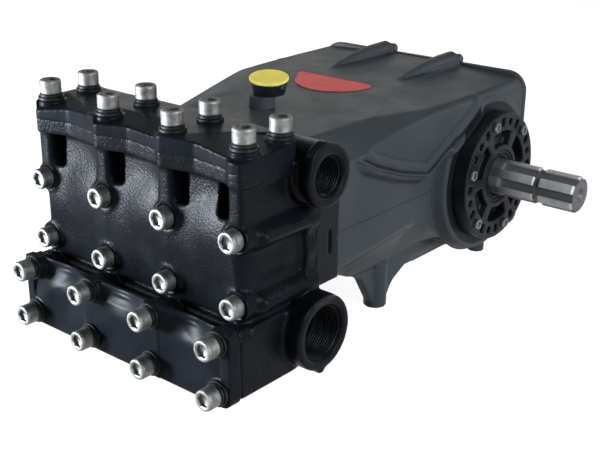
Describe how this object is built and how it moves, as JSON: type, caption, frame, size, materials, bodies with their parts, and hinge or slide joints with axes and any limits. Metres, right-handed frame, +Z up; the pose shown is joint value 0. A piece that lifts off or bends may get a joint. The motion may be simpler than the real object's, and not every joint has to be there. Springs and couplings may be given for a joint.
{
  "type": "triplex plunger pump",
  "caption": "High-pressure plunger pump: bolted head casting with side ports in front of a crankcase on four feet, driven by a splined shaft stub.",
  "frame": {"origin": "on the floor, in the middle of the four feet and of their bolt pattern", "axes": "+X along the crankshaft out of the splined end, +Y from the head towards the rear cover, +Z up"},
  "size_m": [0.3732, 0.456, 0.2221],
  "materials": {
    "crankcase_paint": "smooth satin dark grey paint",
    "bearing_cover_paint": "satin black paint",
    "head_paint": "black paint on rough casting",
    "zinc_screw": "zinc plated",
    "dark_screw": "blackened steel",
    "dark_washer": "blackened steel",
    "seal_rubber": "black rubber",
    "shaft_steel": "machined steel",
    "cap_black": "black plastic",
    "badge_red": "plain red enamel",
    "cap_yellow": "yellow plastic"
  },
  "bodies": {
    "body": {"crankcase": "crankcase_paint", "rear_cover": "crankcase_paint", "rear_cover_screws": "dark_screw", "bearing_cover_right": "bearing_cover_paint", "bearing_cover_left": "bearing_cover_paint", "bearing_cover_screws_right": "zinc_screw", "bearing_cover_screws_left": "zinc_screw", "shaft_seal": "seal_rubber", "oil_filler_collar": "crankcase_paint", "oil_cap_body": "cap_black", "oil_cap_top": "cap_yellow", "blank_badge": "badge_red", "head_casting": "head_paint", "delivery_valve_cover": "head_paint", "suction_valve_cover": "head_paint", "delivery_cover_screws_front": "zinc_screw", "delivery_cover_screws_rear": "zinc_screw", "suction_cover_screws_upper": "zinc_screw", "suction_cover_screws_lower": "zinc_screw", "head_screws_upper": "zinc_screw", "head_screws_lower": "zinc_screw", "delivery_cover_washers": "dark_washer", "suction_cover_washers": "dark_washer", "delivery_cover_lock_washers": "dark_washer", "suction_cover_lock_washers": "dark_washer"},
    "shaft": {"crankshaft": "shaft_steel"}
  },
  "joints": [
    {"name": "crank_spin", "type": "hinge", "parent": "body", "child": "shaft", "pos_m": [0, 0.031, 0.1095], "axis": [1, 0, 0], "continuous": true}
  ]
}
